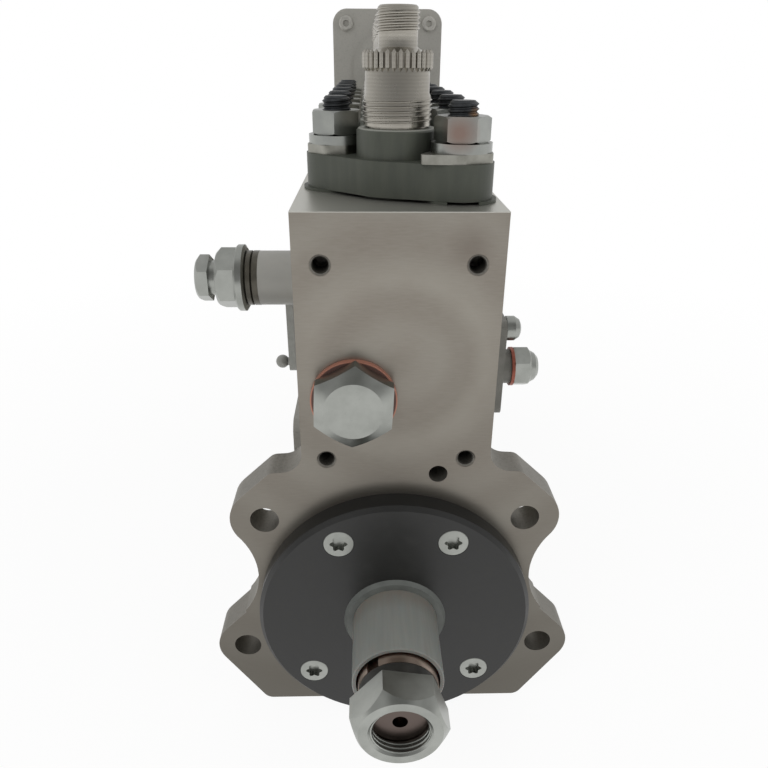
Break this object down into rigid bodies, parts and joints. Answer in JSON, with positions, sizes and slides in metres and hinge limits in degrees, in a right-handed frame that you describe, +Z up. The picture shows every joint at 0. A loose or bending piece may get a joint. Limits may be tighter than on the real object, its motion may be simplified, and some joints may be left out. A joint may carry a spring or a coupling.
{
  "type": "diesel injection pump",
  "caption": "In-line diesel injection pump with flanged pumping elements, keyed taper drive shaft, eared mounting flange, feed pump and rear governor.",
  "frame": {"origin": "on the camshaft axis, in the plane of the housing's machined front face", "axes": "+Y along the camshaft from the drive end to the governor, +Z up through the pumping elements, +X to the right seen from the drive end"},
  "size_m": [0.1786, 0.3805, 0.2809],
  "materials": {
    "cast_aluminium": "machined faces on a shot-blasted casting",
    "governor_casting": "shot-blasted casting",
    "black_cover": "black anodised, satin",
    "black_phosphate_steel": "black-green phosphate",
    "bright_turned_steel": "turned and ground",
    "zinc_plated_steel": "clear zinc plate",
    "copper": "soft copper, dull",
    "grey_plastic": "satin grey tube",
    "black_rubber": "matte",
    "dark_steel": "oiled dark steel",
    "pump_casting": "dark casting"
  },
  "bodies": {
    "pump": {"bearing_cover": "black_cover", "bearing_outer_races": "bright_turned_steel", "bearing_rollers": "bright_turned_steel", "blanking_plate": "dark_steel", "compensator_housing": "governor_casting", "compensator_plate": "governor_casting", "compensator_screws": "zinc_plated_steel", "cover_screws": "zinc_plated_steel", "delivery_valve_holders": "bright_turned_steel", "delivery_valve_springs": "dark_steel", "delivery_valves": "bright_turned_steel", "element_nuts": "zinc_plated_steel", "element_studs": "black_phosphate_steel", "element_washers": "zinc_plated_steel", "feed_pump_body": "pump_casting", "feed_pump_plug": "zinc_plated_steel", "feed_pump_vent": "zinc_plated_steel", "feed_pump_washer": "copper", "flange_shims": "black_phosphate_steel", "flanged_barrels": "black_phosphate_steel", "governor_housing": "governor_casting", "governor_rear_cover": "governor_casting", "housing": "cast_aluminium", "lock_plates": "zinc_plated_steel", "overflow_cap": "zinc_plated_steel", "overflow_rings": "dark_steel", "overflow_sleeve": "grey_plastic", "overflow_valve_body": "zinc_plated_steel", "plunger_springs": "dark_steel", "rack_plug": "bright_turned_steel", "rack_plug_washer": "copper", "shaft_seal": "black_rubber", "socket_screws": "zinc_plated_steel", "spring_seats": "bright_turned_steel", "tappet_pins": "bright_turned_steel", "tappet_rollers": "bright_turned_steel", "tappets": "bright_turned_steel"},
    "camshaft_assembly": {"camshaft": "bright_turned_steel", "shaft_key": "bright_turned_steel", "shaft_sleeve": "grey_plastic", "shaft_washer": "dark_steel", "shaft_spring_washer": "dark_steel", "shaft_nut": "zinc_plated_steel", "bearing_inner_races": "bright_turned_steel", "governor_flyweights": "dark_steel"},
    "control_rack": {"control_rack": "bright_turned_steel"},
    "metering_unit_1": {"control_sleeve_1": "bright_turned_steel", "plunger_1": "bright_turned_steel"},
    "metering_unit_2": {"control_sleeve_2": "bright_turned_steel", "plunger_2": "bright_turned_steel"},
    "metering_unit_3": {"control_sleeve_3": "bright_turned_steel", "plunger_3": "bright_turned_steel"},
    "metering_unit_4": {"control_sleeve_4": "bright_turned_steel", "plunger_4": "bright_turned_steel"},
    "metering_unit_5": {"control_sleeve_5": "bright_turned_steel", "plunger_5": "bright_turned_steel"},
    "metering_unit_6": {"control_sleeve_6": "bright_turned_steel", "plunger_6": "bright_turned_steel"},
    "control_lever": {"control_lever": "zinc_plated_steel"},
    "stop_lever": {"stop_lever": "zinc_plated_steel"}
  },
  "joints": [
    {"name": "camshaft_spin", "type": "hinge", "parent": "pump", "child": "camshaft_assembly", "pos_m": [0, 0, 0], "axis": [0, 1, 0], "continuous": true},
    {"name": "rack_slide", "type": "slide", "parent": "pump", "child": "control_rack", "axis": [0, 1, 0], "range_m": [-0.0105, 0.0105]},
    {"name": "metering_turn_1", "type": "hinge", "parent": "pump", "child": "metering_unit_1", "pos_m": [0, 0.0325, 0.09], "axis": [0, 0, 1], "range_deg": [-44.6, 44.6]},
    {"name": "metering_turn_2", "type": "hinge", "parent": "pump", "child": "metering_unit_2", "pos_m": [0, 0.0675, 0.09], "axis": [0, 0, 1], "range_deg": [-44.6, 44.6]},
    {"name": "metering_turn_3", "type": "hinge", "parent": "pump", "child": "metering_unit_3", "pos_m": [0, 0.1025, 0.09], "axis": [0, 0, 1], "range_deg": [-44.6, 44.6]},
    {"name": "metering_turn_4", "type": "hinge", "parent": "pump", "child": "metering_unit_4", "pos_m": [0, 0.1375, 0.09], "axis": [0, 0, 1], "range_deg": [-44.6, 44.6]},
    {"name": "metering_turn_5", "type": "hinge", "parent": "pump", "child": "metering_unit_5", "pos_m": [0, 0.1725, 0.09], "axis": [0, 0, 1], "range_deg": [-44.6, 44.6]},
    {"name": "metering_turn_6", "type": "hinge", "parent": "pump", "child": "metering_unit_6", "pos_m": [0, 0.2075, 0.09], "axis": [0, 0, 1], "range_deg": [-44.6, 44.6]},
    {"name": "control_lever_swing", "type": "hinge", "parent": "pump", "child": "control_lever", "pos_m": [-0.0665, 0.265, 0.05], "axis": [1, 0, 0], "range_deg": [0, 35], "stiffness_Nm_per_rad": 0.4, "springref_deg": -11.46},
    {"name": "stop_lever_swing", "type": "hinge", "parent": "pump", "child": "stop_lever", "pos_m": [0.059, 0.285, 0.07], "axis": [1, 0, 0], "range_deg": [0, 30], "stiffness_Nm_per_rad": 0.2, "springref_deg": -11.46}
  ],
  "couplings": [
    {"joint": "metering_turn_1", "follows": "rack_slide", "rad_per_m": -73.969},
    {"joint": "metering_turn_2", "follows": "rack_slide", "rad_per_m": -73.969},
    {"joint": "metering_turn_3", "follows": "rack_slide", "rad_per_m": -73.969},
    {"joint": "metering_turn_4", "follows": "rack_slide", "rad_per_m": -73.969},
    {"joint": "metering_turn_5", "follows": "rack_slide", "rad_per_m": -73.969},
    {"joint": "metering_turn_6", "follows": "rack_slide", "rad_per_m": -73.969}
  ]
}
